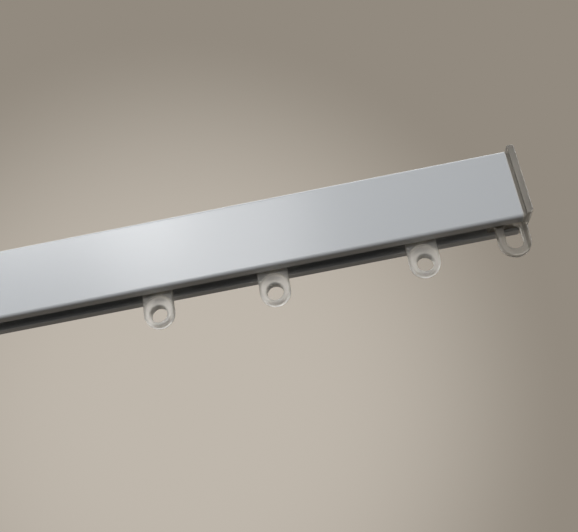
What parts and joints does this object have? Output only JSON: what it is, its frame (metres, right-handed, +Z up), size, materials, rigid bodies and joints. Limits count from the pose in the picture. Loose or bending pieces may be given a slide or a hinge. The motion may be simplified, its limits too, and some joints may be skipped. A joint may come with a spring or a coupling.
{
  "type": "curtain track",
  "caption": "Straight curtain track: a white aluminium extrusion with a slotted underside, wheeled runners with hanging eyes, and moulded end caps with loops.",
  "frame": {"origin": "middle of the bracket groove's mouth, in the top face, half way along the track", "axes": "+X along the track, -Y out of the plain front, +Z up out of the bracket groove"},
  "size_m": [0.4066, 0.0168, 0.038],
  "materials": {
    "coated_track": "satin white powder coat",
    "cap_moulding": "translucent natural nylon",
    "runner_moulding": "translucent natural nylon",
    "wheel_moulding": "white acetal",
    "axle_pin": "turned steel"
  },
  "bodies": {
    "track": {"track_profile": "coated_track", "right_end_cap": "cap_moulding", "left_end_cap": "cap_moulding"},
    "runner_1": {"runner_1_body": "runner_moulding"},
    "wheelset_1": {"runner_1_axle": "axle_pin", "runner_1_front_wheel": "wheel_moulding", "runner_1_rear_wheel": "wheel_moulding"},
    "runner_2": {"runner_2_body": "runner_moulding"},
    "wheelset_2": {"runner_2_axle": "axle_pin", "runner_2_front_wheel": "wheel_moulding", "runner_2_rear_wheel": "wheel_moulding"},
    "runner_3": {"runner_3_body": "runner_moulding"},
    "wheelset_3": {"runner_3_axle": "axle_pin", "runner_3_front_wheel": "wheel_moulding", "runner_3_rear_wheel": "wheel_moulding"},
    "runner_4": {"runner_4_body": "runner_moulding"},
    "wheelset_4": {"runner_4_axle": "axle_pin", "runner_4_front_wheel": "wheel_moulding", "runner_4_rear_wheel": "wheel_moulding"},
    "runner_5": {"runner_5_body": "runner_moulding"},
    "wheelset_5": {"runner_5_axle": "axle_pin", "runner_5_front_wheel": "wheel_moulding", "runner_5_rear_wheel": "wheel_moulding"},
    "runner_6": {"runner_6_body": "runner_moulding"},
    "wheelset_6": {"runner_6_axle": "axle_pin", "runner_6_front_wheel": "wheel_moulding", "runner_6_rear_wheel": "wheel_moulding"}
  },
  "joints": [
    {"name": "runner_1_slide", "type": "slide", "parent": "track", "child": "runner_1", "axis": [1, 0, 0], "range_m": [-0.01988, 0.0184]},
    {"name": "wheelset_1_roll", "type": "hinge", "parent": "runner_1", "child": "wheelset_1", "pos_m": [0.16615, 0, -0.0196], "axis": [0, 1, 0], "continuous": true},
    {"name": "runner_2_slide", "type": "slide", "parent": "track", "child": "runner_2", "axis": [1, 0, 0], "range_m": [-0.01445, 0.01988]},
    {"name": "wheelset_2_roll", "type": "hinge", "parent": "runner_2", "child": "wheelset_2", "pos_m": [0.1158, 0, -0.0196], "axis": [0, 1, 0], "continuous": true},
    {"name": "runner_3_slide", "type": "slide", "parent": "track", "child": "runner_3", "axis": [1, 0, 0], "range_m": [-0.0288, 0.01445]},
    {"name": "wheelset_3_roll", "type": "hinge", "parent": "runner_3", "child": "wheelset_3", "pos_m": [0.0763, 0, -0.0196], "axis": [0, 1, 0], "continuous": true},
    {"name": "runner_4_slide", "type": "slide", "parent": "track", "child": "runner_4", "axis": [1, 0, 0], "range_m": [-0.0288, 0.0288]},
    {"name": "wheelset_4_roll", "type": "hinge", "parent": "runner_4", "child": "wheelset_4", "pos_m": [0.0081, 0, -0.0196], "axis": [0, 1, 0], "continuous": true},
    {"name": "runner_5_slide", "type": "slide", "parent": "track", "child": "runner_5", "axis": [1, 0, 0], "range_m": [-0.0288, 0.0288]},
    {"name": "wheelset_5_roll", "type": "hinge", "parent": "runner_5", "child": "wheelset_5", "pos_m": [-0.0601, 0, -0.0196], "axis": [0, 1, 0], "continuous": true},
    {"name": "runner_6_slide", "type": "slide", "parent": "track", "child": "runner_6", "axis": [1, 0, 0], "range_m": [-0.05625, 0.0288]},
    {"name": "wheelset_6_roll", "type": "hinge", "parent": "runner_6", "child": "wheelset_6", "pos_m": [-0.1283, 0, -0.0196], "axis": [0, 1, 0], "continuous": true}
  ],
  "couplings": [
    {"joint": "wheelset_1_roll", "follows": "runner_1_slide", "rad_per_m": 250},
    {"joint": "wheelset_2_roll", "follows": "runner_2_slide", "rad_per_m": 250},
    {"joint": "wheelset_3_roll", "follows": "runner_3_slide", "rad_per_m": 250},
    {"joint": "wheelset_4_roll", "follows": "runner_4_slide", "rad_per_m": 250},
    {"joint": "wheelset_5_roll", "follows": "runner_5_slide", "rad_per_m": 250},
    {"joint": "wheelset_6_roll", "follows": "runner_6_slide", "rad_per_m": 250}
  ]
}
